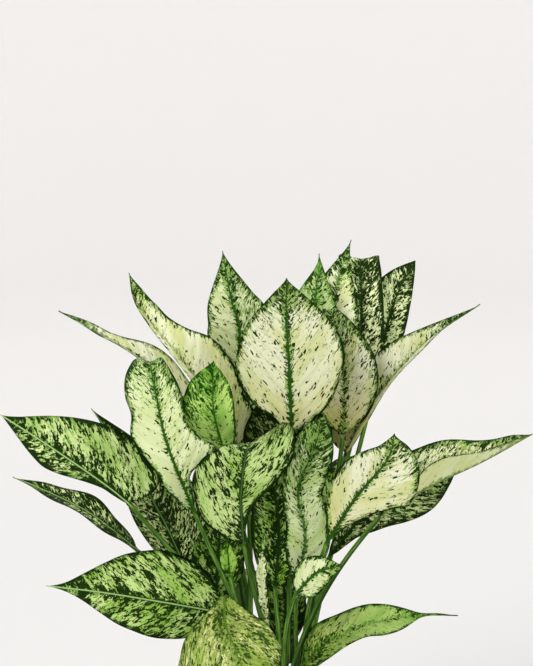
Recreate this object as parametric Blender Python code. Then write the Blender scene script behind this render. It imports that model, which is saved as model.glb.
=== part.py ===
"""A potted Chinese evergreen: a plain tapered pot, its soil, four short canes and their leaves.

Metres, +Z up. The origin is the middle of the pot's foot, and -Y is the front of the plant.
Each leaf is one body, its stalk and its blade, and stands a hair's gap off the cane that carries it.
"""
import math

import bmesh
import bpy
import numpy as np

MM = 0.001
GAP = 0.0003

# Pot
POT_HEIGHT = 0.150
POT_FOOT_RADIUS = 0.057
POT_BODY_RADIUS = 0.0775
POT_RIM_RADIUS = 0.080
POT_RIM_DEPTH = 0.015
POT_WALL = 0.0055
POT_FLOOR = 0.008
POT_SIDES = 48
DRAIN_RADIUS = 0.005
DRAIN_CIRCLE = 0.030
DRAINS = 4

# Soil
SOIL_TOP = 0.135
SOCKET_DEPTH = 0.050

# Canes: where each stands on the soil and how far its tip leans, in millimetres, and its height above the soil.
CANES = {
    "left": dict(foot=(-14, 0), lean=(-3, 0), height=68),
    "right": dict(foot=(14, 0), lean=(3, 0), height=70),
    "front": dict(foot=(0, -14), lean=(0, -3), height=66),
    "back": dict(foot=(0, 14), lean=(0, 3), height=72),
}
CANE_FOOT_RADIUS = 0.0070
CANE_TIP_RADIUS = 0.0045
CANE_SIDES = 12
LOWEST_LEAF = 10
TOP_LEAF_BELOW_TIP = 6

# Leaf build
STALK_STEPS = 4
BLADE_STEPS = 7
ACROSS = 5
LAMINA = 0.0009   # blade's thickness beside the midrib
MARGIN = 0.0004   # and at its margin
STALK_TOP_RADIUS = 1.8
RIB_DEPTH = (1.6, 0.4)
TIP_HALF_WIDTH = 0.4

# Every leaf, listed up each cane. All lengths are millimetres, all angles degrees.
#   mid     points the midrib runs through, from the blade's base to its tip
#   face    the way the upper side looks, at places spread evenly from base to tip
#   width   of the flat blade, with its widest place at the share "belly" of its length
#   fold    angle that each half is raised at the midrib, and curl, how much more it turns by the margin
#   side    share of the width on the right half, seen from above with the tip ahead
#   edges   widths of the left and the right half at even steps from base to tip, where they follow no plain outline
#   sweep   how far the margins reach back past the base
#   around  compass angle at which the stalk leaves its cane, counted from +X
LEAVES = {
    "leaf_front_drooping": dict(
        cane="front", finish="olive", around=-118, tilt=50, bow=0.3,
        mid=[(-44, -74, 269), (-43, -90, 253), (-37, -106, 242), (-20, -134, 207)],
        edges=([12, 21, 26, 29, 31, 33, 33, 27, 14], [9, 16, 26, 37, 44, 49, 44, 30, 14]),
        face=[(0.2, -0.9, 0.6), (0, -0.7, 0.7)]),
    "leaf_small_front": dict(
        cane="front", finish="pale",
        mid=[(13, -64, 269), (29, -70, 287), (49, -74, 294)],
        face=[(-0.2, -0.9, 0.4)], width=30, fold=10),
    "leaf_young_rolled": dict(
        cane="front", finish="young", around=-150,
        mid=[(-40, -70, 287), (-41, -70, 301), (-43, -68, 314)],
        face=[(0, -1, 0.1)], width=26, fold=35, curl=45),
    "leaf_spear": dict(
        cane="front", finish="pale",
        mid=[(-11, -64, 247), (-15, -73, 284), (-12, -74, 324)],
        face=[(0, -1, 0.1)], width=18, fold=35, curl=35),
    "leaf_dark_centre": dict(
        cane="front", finish="dark", around=-62,
        mid=[(-4, -30, 264), (-1, -28, 309), (-7, -24, 351), (-13, -14, 375)],
        face=[(0, -1, 0.2)], width=46),
    "leaf_right_long": dict(
        cane="front", finish="cream", around=-30, tilt=14, bow=0.35,
        mid=[(81, -46, 328), (115, -29, 344), (162, -24, 365), (202, -18, 386)],
        edges=([22, 30, 33, 32, 29, 24, 18, 12, 7], [16, 26, 31, 33, 31, 26, 18, 11, 6]),
        face=[(0, -0.45, 0.9)], fold=(35, 72)),
    "leaf_front_broad": dict(
        cane="front", finish="lime", around=-130,
        mid=[(-29, -66, 311), (-31, -65, 343), (-29, -61, 367), (-25, -47, 383), (-21, -28, 381), (-19, -13, 368)],
        edges=([20, 31, 36, 39, 34, 22, 19, 20, 11], [3, 7, 15, 24, 33, 40, 38, 26, 13]),
        face=[(0, -1, 0.1), (0, -1, 0.1), (-0.1, -1, 0.2), (-0.4, -0.6, 0.8), (-0.3, 0.3, 1)], fold=10),
    "leaf_small_bright": dict(
        cane="front", finish="young", around=175,
        mid=[(-46, -9, 372), (-53, -27, 409), (-53, -24, 447)],
        edges=([13, 20, 25, 27, 27, 25, 22, 18, 10], [11, 16, 19, 21, 23, 24, 22, 17, 9]),
        face=[(0.1, -1, 0.1)], fold=(6, 50)),
    "leaf_centre_tall": dict(
        cane="front", finish="cream",
        mid=[(9, -22, 390), (7, -20, 440), (5, -10, 477), (5, 4, 509)],
        edges=([14, 29, 38, 43, 42, 38, 32, 21, 10], [20, 32, 38, 43, 45, 42, 36, 25, 12]),
        face=[(0, -1, 0.1)], fold=8),

    "leaf_left_low": dict(
        cane="left", finish="lime",
        mid=[(-48, -50, 248), (-99, -64, 262), (-141, -76, 273), (-182, -85, 281)],
        edges=([18, 26, 29, 30, 28, 24, 16, 8, 2.5], [25, 35, 39, 40, 37, 32, 23, 13, 4]),
        face=[(0.1, -0.85, 0.5)], fold=8),
    "leaf_inner_left": dict(
        cane="left", finish="dark", around=-60,
        mid=[(-52, -18, 246), (-50, -18, 288), (-46, -16, 333)],
        face=[(0, -1, 0.2)], width=44),
    "leaf_inner_top": dict(
        cane="left", finish="dark", around=90,
        mid=[(6, 13, 343), (6, 11, 389), (2, 11, 433)],
        face=[(0, -1, 0.2)], width=74),
    "leaf_rear_low_left": dict(
        cane="left", finish="lime",
        mid=[(-45, 50, 262), (-72, 95, 280), (-95, 150, 262)],
        face=[(0.1, -0.2, 1), (-0.2, 0.5, 0.8)], width=58),
    "leaf_left_dark": dict(
        cane="left", finish="dark", around=150,
        mid=[(-76, 4, 264), (-98, 8, 312), (-127, 12, 361), (-154, 14, 400)],
        edges=([14, 20, 23, 24, 22, 17, 11, 5, 1.5], [24, 35, 38, 36, 30, 22, 17, 11, 5]),
        face=[(0.2, -0.8, 0.55)]),
    "leaf_left_narrow": dict(
        cane="left", finish="dark", around=-175,
        mid=[(-115, -44, 299), (-148, -56, 330), (-179, -60, 348), (-209, -62, 362)],
        face=[(0.2, -0.35, 0.9)], width=32, fold=15, point=1.4),
    "leaf_left_middle": dict(
        cane="left", finish="lime", around=-138,
        mid=[(-122, -28, 332), (-141, -32, 349), (-182, -40, 381), (-220, -45, 408)],
        edges=([3, 4, 7, 11, 15, 17, 14, 9.5, 4.5], [30, 36, 41, 41, 38, 32, 24, 15, 6]),
        face=[(0.1, -0.9, 0.4)], fold=8, sweep=(0.1, 0.9)),
    "leaf_rear_left": dict(
        cane="left", finish="pale",
        mid=[(-50, 55, 335), (-75, 95, 372), (-95, 140, 385)],
        face=[(0.3, -0.7, 0.6), (0.1, -0.2, 1)], width=60),
    "leaf_left_pale": dict(
        cane="left", finish="pale", around=-122,
        mid=[(-69, -44, 331), (-89, -43, 383), (-98, -38, 423), (-103, -23, 444), (-104, -6, 441)],
        edges=([10, 15, 17, 22, 27, 23, 25, 22, 12], [5, 10, 36, 27, 21, 21, 20, 15, 9]),
        face=[(0.1, -1, 0.15), (0.1, -1, 0.15), (0, -1, 0.3), (0, -0.5, 0.9)], fold=18),
    "leaf_left_flat": dict(
        cane="left", finish="cream",
        mid=[(-71, 21, 394), (-98, 26, 427), (-135, 30, 452), (-181, 31, 478)],
        edges=([10, 12, 12, 11, 9, 8, 7, 5, 3], [16, 22, 24, 23, 20, 15, 10, 7, 4]),
        face=[(0.45, -0.3, 0.85), (0.4, -0.15, 0.9)]),
    "leaf_left_folded": dict(
        cane="left", finish="cream", around=-162,
        mid=[(-35, 11, 370), (-68, 15, 424), (-104, 20, 469), (-117, 23, 488), (-123, 27, 510)],
        edges=([8, 12, 14, 14, 14, 13, 11, 8, 5], [25, 26, 31, 32, 30, 20, 14, 12, 8]),
        face=[(0.1, -1, 0.2)], fold=(70, 8)),

    "leaf_right_drooping": dict(
        cane="right", finish="olive",
        mid=[(18, -34, 199), (44, -46, 225), (83, -60, 245), (114, -66, 251), (140, -64, 250)],
        edges=([16, 20, 20, 19.5, 17, 13, 8, 2.5, 1.2], [14, 17, 18, 17, 15, 17, 14, 3, 1.2]),
        face=[(-0.1, -0.55, 0.8)]),
    "leaf_rear_right": dict(
        cane="right", finish="lime", around=85,
        mid=[(45, 55, 290), (72, 95, 325), (98, 140, 335)],
        face=[(-0.3, -0.6, 0.7), (0, 0, 1)], width=60),
    "leaf_right_dark": dict(
        cane="right", finish="dark", around=-14,
        mid=[(41, -12, 284), (75, 0, 320), (114, 8, 338), (147, 13, 352)],
        edges=([7, 13, 20, 23, 23, 21, 17, 12, 6], [5, 9, 17, 23, 27, 28, 27, 22, 12]),
        face=[(0, -0.8, 0.6)]),
    "leaf_top_right": dict(
        cane="right", finish="dark", around=52,
        mid=[(79, 70, 402), (90, 78, 454), (100, 84, 485), (115, 92, 511)],
        face=[(0.2, -0.9, 0.2)], width=42, side=0.75, belly=0.55, point=0.9),
    "leaf_right_pale": dict(
        cane="right", finish="cream", around=-70, tilt=5,
        mid=[(37, -62, 310), (58, -62, 344), (84, -50, 373), (90, -38, 391)],
        edges=([7, 13, 19, 23, 25, 24, 20, 15, 8], [4, 9, 15, 22, 29, 35, 34, 27, 13]),
        face=[(-0.1, -1, 0.25)], fold=10, sweep=(0.1, -0.3)),
    "leaf_right_curled": dict(
        cane="right", finish="pale", around=-112,
        mid=[(14, -44, 273), (20, -46, 308), (14, -46, 346), (26, -40, 378), (36, -28, 404)],
        edges=([12, 17, 17, 15, 14, 15, 17, 18, 13], [14, 20, 22, 22, 21, 21, 20, 17, 10]),
        face=[(0, -1, 0.2)], fold=25, wave=4),
    "leaf_right_upper": dict(
        cane="right", finish="cream", around=40,
        mid=[(54, 10, 364), (76, 18, 404), (119, 28, 452), (164, 34, 483)],
        face=[(-0.5, -0.55, 0.6)], width=62, fold=(15, 40), belly=0.24, point=1.5, shoulder=0.4),
    "leaf_right_cream": dict(
        cane="right", finish="cream", around=-4,
        mid=[(51, -2, 384), (51, 0, 431), (46, 6, 461), (40, 14, 480), (36, 26, 478)],
        face=[(0.1, -1, 0.2), (0.1, -1, 0.2), (0, -0.6, 0.9), (0, 0.3, 1)], width=56, belly=0.4),

    "leaf_rear_drooping": dict(
        cane="back", finish="lime", around=162,
        mid=[(-14, 62, 222), (-22, 110, 232), (-28, 160, 200)],
        face=[(0, 0, 1), (0, 0.6, 0.8)], width=52),
    "leaf_rear_low": dict(
        cane="back", finish="lime", around=84,
        mid=[(6, 62, 278), (10, 110, 305), (14, 165, 292)],
        face=[(0, -0.2, 1), (0, 0.4, 0.9)], width=62),
    "leaf_rear_middle": dict(
        cane="back", finish="pale", around=116,
        mid=[(0, 62, 352), (2, 100, 396), (4, 150, 412)],
        face=[(0, -0.8, 0.6), (0, -0.2, 1)], width=66),
    "leaf_inner_low": dict(
        cane="back", finish="dark", around=-60,
        mid=[(5, 1, 204), (4, -1, 244), (0, -3, 284)],
        face=[(0, -1, 0.2)], width=36),
    "leaf_rear_high_right": dict(
        cane="back", finish="cream", around=58,
        mid=[(42, 72, 380), (56, 105, 424), (64, 145, 448)],
        face=[(-0.2, -0.8, 0.5), (0, -0.4, 0.9)], width=52),
    "leaf_rear_high_left": dict(
        cane="back", finish="pale", around=144,
        mid=[(-26, 58, 392), (-34, 85, 440), (-38, 120, 470)],
        face=[(0.2, -0.9, 0.4), (0, -0.4, 0.9)], width=52),
    "leaf_top_dark": dict(
        cane="back", finish="dark", around=-10,
        mid=[(67, 50, 399), (68, 60, 457), (68, 68, 494), (68, 76, 514), (73, 92, 505)],
        edges=([10, 16, 20, 21, 21, 21, 21, 20, 16], [10, 15, 18, 19, 19, 19, 18, 17, 14]),
        face=[(0.1, -1, 0.1), (0.1, -1, 0.1), (0, -0.6, 0.9), (0, 0.3, 1)]),
    "leaf_top_back": dict(
        cane="back", finish="cream", around=30,
        mid=[(37, 42, 414), (42, 46, 459), (48, 50, 499), (59, 58, 533)],
        face=[(-0.1, -1, 0)], width=46, point=1.5),
    "leaf_top_young": dict(
        cane="back", finish="young", around=-45,
        mid=[(26, 28, 428), (28, 30, 481), (32, 36, 512), (32, 40, 524)],
        face=[(0, -1, 0)], width=42, point=1.6),
    "leaf_top_left": dict(
        cane="back", finish="pale",
        mid=[(-34, 23, 412), (-33, 28, 463), (-40, 32, 488), (-47, 41, 526)],
        face=[(0, -1, 0)], width=54, point=1.35),
}

# What a leaf has where its entry says nothing.
ORDINARY = dict(fold=12, curl=0, belly=0.42, side=1.0, shoulder=0.55, point=1.15, sweep=0.12, wave=1.5, waves=2.3,
                edges=None, around=None, tilt=None, bow=0.33, rise=0.8, foot=2.6)

COLOURS = {
    "pot": ((0.80, 0.78, 0.74), 0.55),
    "soil": ((0.045, 0.030, 0.020), 0.95),
    "stem": ((0.16, 0.26, 0.08), 0.50),
    "cream": ((0.68, 0.70, 0.46), 0.42),
    "pale": ((0.50, 0.62, 0.32), 0.42),
    "lime": ((0.28, 0.45, 0.12), 0.40),
    "dark": ((0.06, 0.14, 0.05), 0.38),
    "young": ((0.22, 0.45, 0.07), 0.38),
    "olive": ((0.26, 0.36, 0.10), 0.42),
}


def clear_scene():
    for thing in list(bpy.data.objects):
        bpy.data.objects.remove(thing, do_unlink=True)


def finish(name):
    """The plain material of one finish."""
    known = bpy.data.materials.get(name)
    if known:
        return known
    colour, roughness = COLOURS[name]
    material = bpy.data.materials.new(name)
    material.use_nodes = True
    shader = material.node_tree.nodes["Principled BSDF"]
    shader.inputs["Base Color"].default_value = (*colour, 1)
    shader.inputs["Roughness"].default_value = roughness
    shader.inputs["Metallic"].default_value = 0
    return material


def add_object(name, verts, faces, finish_name):
    mesh = bpy.data.meshes.new(name)
    mesh.from_pydata([tuple(v) for v in verts], [], faces)
    mesh.update()
    piece = bpy.data.objects.new(name, mesh)
    bpy.context.scene.collection.objects.link(piece)
    mesh.materials.append(finish(finish_name))
    mesh.shade_smooth()
    return piece


def lathe(name, profile, sides, finish_name):
    """A solid turned about Z from a profile that starts on the axis below and ends on it above."""
    verts = [(0, 0, profile[0][1])]
    for radius, height in profile[1:-1]:
        for k in range(sides):
            angle = 2 * math.pi * k / sides
            verts.append((radius * math.cos(angle), radius * math.sin(angle), height))
    verts.append((0, 0, profile[-1][1]))
    top = len(verts) - 1
    faces = []
    rows = len(profile) - 2
    for k in range(sides):
        n = (k + 1) % sides
        faces.append((0, 1 + n, 1 + k))
        for row in range(rows - 1):
            a, b = 1 + row * sides + k, 1 + row * sides + n
            faces.append((a, b, b + sides, a + sides))
        last = 1 + (rows - 1) * sides
        faces.append((last + k, last + n, top))
    piece = add_object(name, verts, faces, finish_name)
    mesh = bmesh.new()
    mesh.from_mesh(piece.data)
    bmesh.ops.recalc_face_normals(mesh, faces=mesh.faces)
    mesh.to_mesh(piece.data)
    mesh.free()
    return piece


def cut(piece, cutter):
    cutter.hide_render = True
    cutter.display_type = "WIRE"
    step = piece.modifiers.new(cutter.name, "BOOLEAN")
    step.operation = "DIFFERENCE"
    step.solver = "EXACT"
    step.object = cutter


def inner_radius(height):
    """Inside radius of the pot's wall at a height."""
    share = (height - POT_FLOOR) / (POT_HEIGHT - POT_FLOOR)
    return mix(POT_FOOT_RADIUS, POT_BODY_RADIUS, share) - POT_WALL + 0.003 * share


def make_pot():
    rim = POT_RIM_RADIUS
    under_rim = POT_HEIGHT - POT_RIM_DEPTH
    inside = inner_radius(POT_HEIGHT)
    profile = [
        (0, 0), (POT_FOOT_RADIUS - 0.003, 0), (POT_FOOT_RADIUS, 0.003),
        (POT_BODY_RADIUS - 0.001, under_rim - 0.003), (POT_BODY_RADIUS, under_rim - 0.0015),
        (rim, under_rim), (rim, POT_HEIGHT - 0.002), (rim - 0.002, POT_HEIGHT),
        (inside + 0.0015, POT_HEIGHT), (inside, POT_HEIGHT - 0.002),
        (inner_radius(POT_FLOOR + 0.006), POT_FLOOR + 0.006),
        (inner_radius(POT_FLOOR) - 0.003, POT_FLOOR), (0, POT_FLOOR),
    ]
    pot = lathe("pot", profile, POT_SIDES, "pot")
    for k in range(DRAINS):
        angle = math.pi / 4 + 2 * math.pi * k / DRAINS
        drain = lathe(f"drain_cutter_{k}", [(0, -0.002), (DRAIN_RADIUS, -0.002),
                                            (DRAIN_RADIUS, POT_FLOOR + 0.002), (0, POT_FLOOR + 0.002)], 12, "pot")
        drain.location = (DRAIN_CIRCLE * math.cos(angle), DRAIN_CIRCLE * math.sin(angle), 0)
        cut(pot, drain)


def make_soil():
    floor = POT_FLOOR + GAP
    profile = [
        (0, floor), (inner_radius(POT_FLOOR) - 0.003 - GAP, floor),
        (inner_radius(POT_FLOOR + 0.006) - 2 * GAP, POT_FLOOR + 0.0065),
        (inner_radius(SOIL_TOP) - 2 * GAP, SOIL_TOP), (0, SOIL_TOP),
    ]
    soil = lathe("soil", profile, POT_SIDES, "soil")
    for cane in CANES:
        x, y = CANES[cane]["foot"]
        hole = CANE_FOOT_RADIUS + GAP
        socket = lathe(f"socket_cutter_{cane}", [(0, SOIL_TOP - SOCKET_DEPTH), (hole, SOIL_TOP - SOCKET_DEPTH),
                                                 (hole, SOIL_TOP + 0.005), (0, SOIL_TOP + 0.005)], CANE_SIDES, "soil")
        socket.location = (x * MM, y * MM, 0)
        socket.rotation_euler.z = math.pi / (2 * CANE_SIDES)
        cut(soil, socket)


def make_cane(cane):
    """A round cane that stands in its socket and leans a little above the soil."""
    height = CANES[cane]["height"]
    levels = [0, 0.25, 0.5, 0.75, 1]
    profile = [(0, SOIL_TOP - SOCKET_DEPTH + GAP), (CANE_FOOT_RADIUS, SOIL_TOP - SOCKET_DEPTH + GAP)]
    profile += [(cane_radius(cane, height * s), SOIL_TOP + height * s * MM) for s in levels]
    crown = SOIL_TOP + height * MM
    profile += [(CANE_TIP_RADIUS * 0.6, crown + 0.0025), (0, crown + 0.0035)]
    piece = lathe(f"cane_{cane}", profile, CANE_SIDES, "stem")
    for vertex in piece.data.vertices:
        axis = cane_axis(cane, (vertex.co.z - SOIL_TOP) / MM)
        vertex.co.x += axis[0]
        vertex.co.y += axis[1]


def unit(v):
    v = np.asarray(v, float)
    return v / max(np.linalg.norm(v), 1e-12)


def mix(a, b, t):
    return a + (b - a) * t


def pair(value):
    """A leaf's value for its left and its right half."""
    return value if isinstance(value, tuple) else (value, value)


def between(rows, t):
    """The row at share t of evenly spread rows, on a smooth curve through them."""
    p = np.array(rows, float)
    last = len(p) - 1
    if last == 0:
        return p[0]
    k = min(int(t * last), last - 1)
    u = t * last - k
    a, b, c, d = p[max(k - 1, 0)], p[k], p[k + 1], p[min(k + 2, last)]
    return 0.5 * (2 * b + (c - a) * u + (2 * a - 5 * b + 4 * c - d) * u ** 2 + (3 * b - a - 3 * c + d) * u ** 3)


class Run:
    """A smooth curve through a few points, read by its share of length from 0 to 1."""

    def __init__(self, points, steps=40):
        p = np.array(points, float)
        ends = np.vstack([2 * p[0] - p[1], p, 2 * p[-1] - p[-2]])
        found = []
        for a, b, c, d in zip(ends, ends[1:], ends[2:], ends[3:]):
            for u in np.linspace(0, 1, steps, endpoint=False):
                found.append(0.5 * (2 * b + (c - a) * u + (2 * a - 5 * b + 4 * c - d) * u ** 2
                                    + (3 * b - a - 3 * c + d) * u ** 3))
        self.points = np.array(found + [p[-1]])
        gaps = np.linalg.norm(np.diff(self.points, axis=0), axis=1)
        self.share = np.concatenate([[0], np.cumsum(gaps)]) / gaps.sum()

    def at(self, t):
        return np.array([np.interp(t, self.share, column) for column in self.points.T])

    def heading(self, t, reach=0.03):
        return unit(self.at(min(t + reach, 1)) - self.at(max(t - reach, 0)))


class Bow:
    """A stalk's curve: it leaves the foot one way and arrives at the blade another."""

    def __init__(self, start, end, leave, arrive, reach):
        self.points = start, start + leave * reach, end - arrive * reach, end

    def at(self, u):
        p, a, b, q = self.points
        return (1 - u) ** 3 * p + 3 * u * (1 - u) ** 2 * a + 3 * u * u * (1 - u) * b + u ** 3 * q

    def heading(self, u):
        p, a, b, q = self.points
        return unit((1 - u) ** 2 * (a - p) + 2 * u * (1 - u) * (b - a) + u * u * (q - b))


def cane_axis(cane, height):
    """Middle of a cane at a height in millimetres above the soil; below the soil it stands upright."""
    c = CANES[cane]
    share = max(height, 0) / c["height"]
    x, y = (foot + lean * share for foot, lean in zip(c["foot"], c["lean"]))
    return np.array([x * MM, y * MM, SOIL_TOP + height * MM])


def cane_radius(cane, height):
    return mix(CANE_FOOT_RADIUS, CANE_TIP_RADIUS, height / CANES[cane]["height"])


def leaf_height(name):
    """Height above the soil at which a cane carries the leaf: its leaves are spread evenly up it."""
    cane = LEAVES[name]["cane"]
    order = [other for other in LEAVES if LEAVES[other]["cane"] == cane]
    step = (CANES[cane]["height"] - LOWEST_LEAF - TOP_LEAF_BELOW_TIP) / (len(order) - 1)
    return LOWEST_LEAF + step * order.index(name)


def leaf_curves(name):
    """The stalk's and the midrib's curves."""
    g = {**ORDINARY, **LEAVES[name]}
    rib = Run(np.array(g["mid"], float) * MM)
    height = leaf_height(name)
    axis = cane_axis(g["cane"], height)
    base = rib.at(0)
    toward = base - axis
    angle = math.atan2(toward[1], toward[0]) if g["around"] is None else math.radians(g["around"])
    out = np.array([math.cos(angle), math.sin(angle), 0])
    up = np.array([0, 0, 1])
    tilt = math.radians(g["tilt"] or 0)
    start = axis + out * (cane_radius(g["cane"], height) + g["foot"] * MM * math.cos(tilt) + GAP)
    straight = unit(base - start)
    leave = math.sin(tilt) * out + math.cos(tilt) * up if tilt else unit(straight + g["rise"] * up)
    arrive = unit(straight + 0.8 * rib.heading(0))
    return Bow(start, base, leave, arrive, g["bow"] * np.linalg.norm(base - start)), rib


def outline(t, g):
    """Share of the half width at share t of the blade: round at the base, drawn out to the tip."""
    belly = g["belly"]
    if t < belly:
        return math.sin(math.pi / 2 * t / belly) ** g["shoulder"]
    return math.cos(math.pi / 2 * (t - belly) / (1 - belly)) ** g["point"]


def section(share, half, fold, curl):
    """Across and up of the point at a share of the way from the midrib to the margin."""
    if abs(curl) < 1e-3:
        return half * share * math.cos(fold), half * share * math.sin(fold)
    return (half * (math.sin(fold + curl * share) - math.sin(fold)) / curl,
            half * (math.cos(fold) - math.cos(fold + curl * share)) / curl)


def half_width(g, hand, t):
    """Width in millimetres of the left or the right half at share t, measured on the flat blade."""
    least = STALK_TOP_RADIUS if t == 0 else TIP_HALF_WIDTH
    if g["edges"]:
        return max(float(between((0, *g["edges"][hand], 0), t)), least)
    share = g["side"] if hand else 2 - g["side"]
    return max(g["width"] / 2 * outline(t, g) * share, least)


def square_to(way, g, t):
    """The blade's right-hand and upper directions at share t."""
    face = between(g["face"], t)
    up = unit(face - np.dot(face, way) * way)
    return np.cross(way, up), up


def stalk_ring(stalk, g, u):
    centre, way = stalk.at(u), stalk.heading(u)
    right, up = square_to(way, g, 0)
    radius = mix(g["foot"], STALK_TOP_RADIUS, u ** 0.6) * MM
    over = np.linspace(math.pi, 0, ACROSS) * 0.9 + 0.05 * math.pi
    angles = np.concatenate([over, -over[::-1]])
    return [centre + radius * (math.cos(a) * right + math.sin(a) * up) for a in angles]


def blade_ring(rib, g, t):
    """Upper points from the left margin to the right one, then the lower points back again."""
    centre, way = rib.at(t), rib.heading(t)
    right, up = square_to(way, g, t)
    under_rib = mix(*RIB_DEPTH, t ** 0.8) * MM
    upper, lower = [], []
    for s in np.linspace(-1, 1, ACROSS):
        hand = 1 if s > 0 else 0
        side = 2 * hand - 1
        fold, curl = math.radians(pair(g["fold"])[hand]), math.radians(pair(g["curl"])[hand])
        across, rise = section(abs(s), half_width(g, hand, t) * MM, fold, curl)
        ripple = math.sin(2 * math.pi * g["waves"] * t + 1.7 * hand)
        rise += g["wave"] * MM * s * s * ripple * min(1, 4 * t, 3 * (1 - t))
        back = pair(g["sweep"])[hand] * across * (1 - t) ** 2
        point = centre + side * across * right + rise * up - back * way
        on_midrib = abs(s) < 1e-6
        slope = 0 if on_midrib else fold + curl * abs(s)
        over = math.cos(slope) * up - side * math.sin(slope) * right
        half_thick = mix(LAMINA, MARGIN, s ** 4) / 2
        upper.append(point + half_thick * over)
        lower.append(point - (half_thick + under_rib * on_midrib) * over)
    return upper + lower[::-1]


def make_leaf(name):
    g = {**ORDINARY, **LEAVES[name]}
    stalk, rib = leaf_curves(name)
    rings = [stalk_ring(stalk, g, u) for u in np.arange(STALK_STEPS) / STALK_STEPS]
    rings += [blade_ring(rib, g, t) for t in [0, 0.02] + [0.02 + 0.98 * k / BLADE_STEPS
                                                          for k in range(1, BLADE_STEPS + 1)]]
    n = len(rings[0])
    faces = [tuple(reversed(range(n)))]
    for row in range(len(rings) - 1):
        for k in range(n):
            a, b = row * n + k, row * n + (k + 1) % n
            # the lower side is split along the same slant as the upper, so a twisted blade keeps its thickness
            faces += [(a, b, b + n), (a, b + n, a + n)] if k < ACROSS else [(a, b, a + n), (b, b + n, a + n)]
    last = (len(rings) - 1) * n
    faces.append(tuple(last + k for k in range(n)))
    add_object(name, [p for ring in rings for p in ring], faces, g["finish"])


def main():
    clear_scene()
    make_pot()
    make_soil()
    for cane in CANES:
        make_cane(cane)
    for name in LEAVES:
        make_leaf(name)


main()
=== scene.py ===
"""The looks of a potted Chinese evergreen: flecked leaves on short canes, potting mix and a matt glazed pot.

Metres, +Z up. The origin is the middle of the pot's foot, and -Y is the front of the plant.
The tables of canes and leaves are in millimetres and degrees.
"""
from math import atan2, cos, exp, hypot, pi, radians, sin, sqrt

import bmesh
import bpy
import numpy as np
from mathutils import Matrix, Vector


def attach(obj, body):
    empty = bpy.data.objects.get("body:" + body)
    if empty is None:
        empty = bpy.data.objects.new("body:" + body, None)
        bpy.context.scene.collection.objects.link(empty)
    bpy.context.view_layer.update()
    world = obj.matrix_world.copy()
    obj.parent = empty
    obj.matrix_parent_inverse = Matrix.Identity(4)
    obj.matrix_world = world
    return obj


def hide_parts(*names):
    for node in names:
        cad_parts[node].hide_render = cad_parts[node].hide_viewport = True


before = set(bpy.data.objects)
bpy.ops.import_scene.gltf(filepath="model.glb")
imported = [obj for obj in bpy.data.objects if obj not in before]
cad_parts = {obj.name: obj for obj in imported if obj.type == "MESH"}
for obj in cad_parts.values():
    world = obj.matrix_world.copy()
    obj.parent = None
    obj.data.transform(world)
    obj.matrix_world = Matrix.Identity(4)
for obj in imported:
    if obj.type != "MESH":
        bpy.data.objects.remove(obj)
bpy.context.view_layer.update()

MM = 0.001
# Left between pieces that would otherwise touch.
GAP = 0.0003

# Pot
POT_HEIGHT = 0.150
POT_FOOT_RADIUS = 0.057
POT_BODY_RADIUS = 0.0775
POT_RIM_RADIUS = 0.080
POT_RIM_DEPTH = 0.015
POT_WALL = 0.0055
POT_WALL_THINNING = 0.003
POT_FLOOR = 0.008
# How far in, and how far up, the wall bends into the floor inside.
FLOOR_BEND = (0.003, 0.006)
POT_SIDES = 144
DRAIN_RADIUS = 0.005
DRAIN_CIRCLE = 0.030
DRAINS = 4

# Soil
SOIL_TOP = 0.135
SOIL_RINGS = 30
SOIL_SIDES = 120
SOCKET_DEPTH = 0.050

# Canes: where each stands on the soil, how far its tip leans, and its height above the soil, in millimetres.
CANES = {
    "left": dict(foot=(-14, 0), lean=(-3, 0), height=68),
    "right": dict(foot=(14, 0), lean=(3, 0), height=70),
    "front": dict(foot=(0, -14), lean=(0, -3), height=66),
    "back": dict(foot=(0, 14), lean=(0, 3), height=72),
}
CANE_FOOT_RADIUS = 0.0070
CANE_TIP_RADIUS = 0.0045
CANE_STEPS = 12
CANE_RINGS = 180
CANE_SIDES = 28
SCARS = 14.0
SCAR_DEPTH = 0.09
LOWEST_LEAF = 10
TOP_LEAF_BELOW_TIP = 6

# Leaf build: rows up the stalk and the blade, points on each half of a blade's section, how those crowd at
# the midrib and the rows at the base, how far apart the leaves' flecks are drawn; then millimetres.
STALK_ROWS = 26
BLADE_ROWS = 84
HALF_POINTS = 13
CROWDING = 1.6
BASE_CROWDING = 1.1
FLECKS_APART = 13.7
LAMINA = 0.6
MARGIN_THINNING = 0.85
STALK_TOP_RADIUS = 1.8
STALK_HOLLOW = 0.28
RIB_RADIUS = (1.9, 0.35)
TIP_HALF_WIDTH = 0.4
GROOVE_DEPTH = 0.45
GROOVE_WIDTH = 1.5
VEIN_SPACING = 11
QUILTING = 0.35
QUILTED_WIDTH = 15
VEIN_LEAN = 0.72
VEIN_BEND = 0.010

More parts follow.
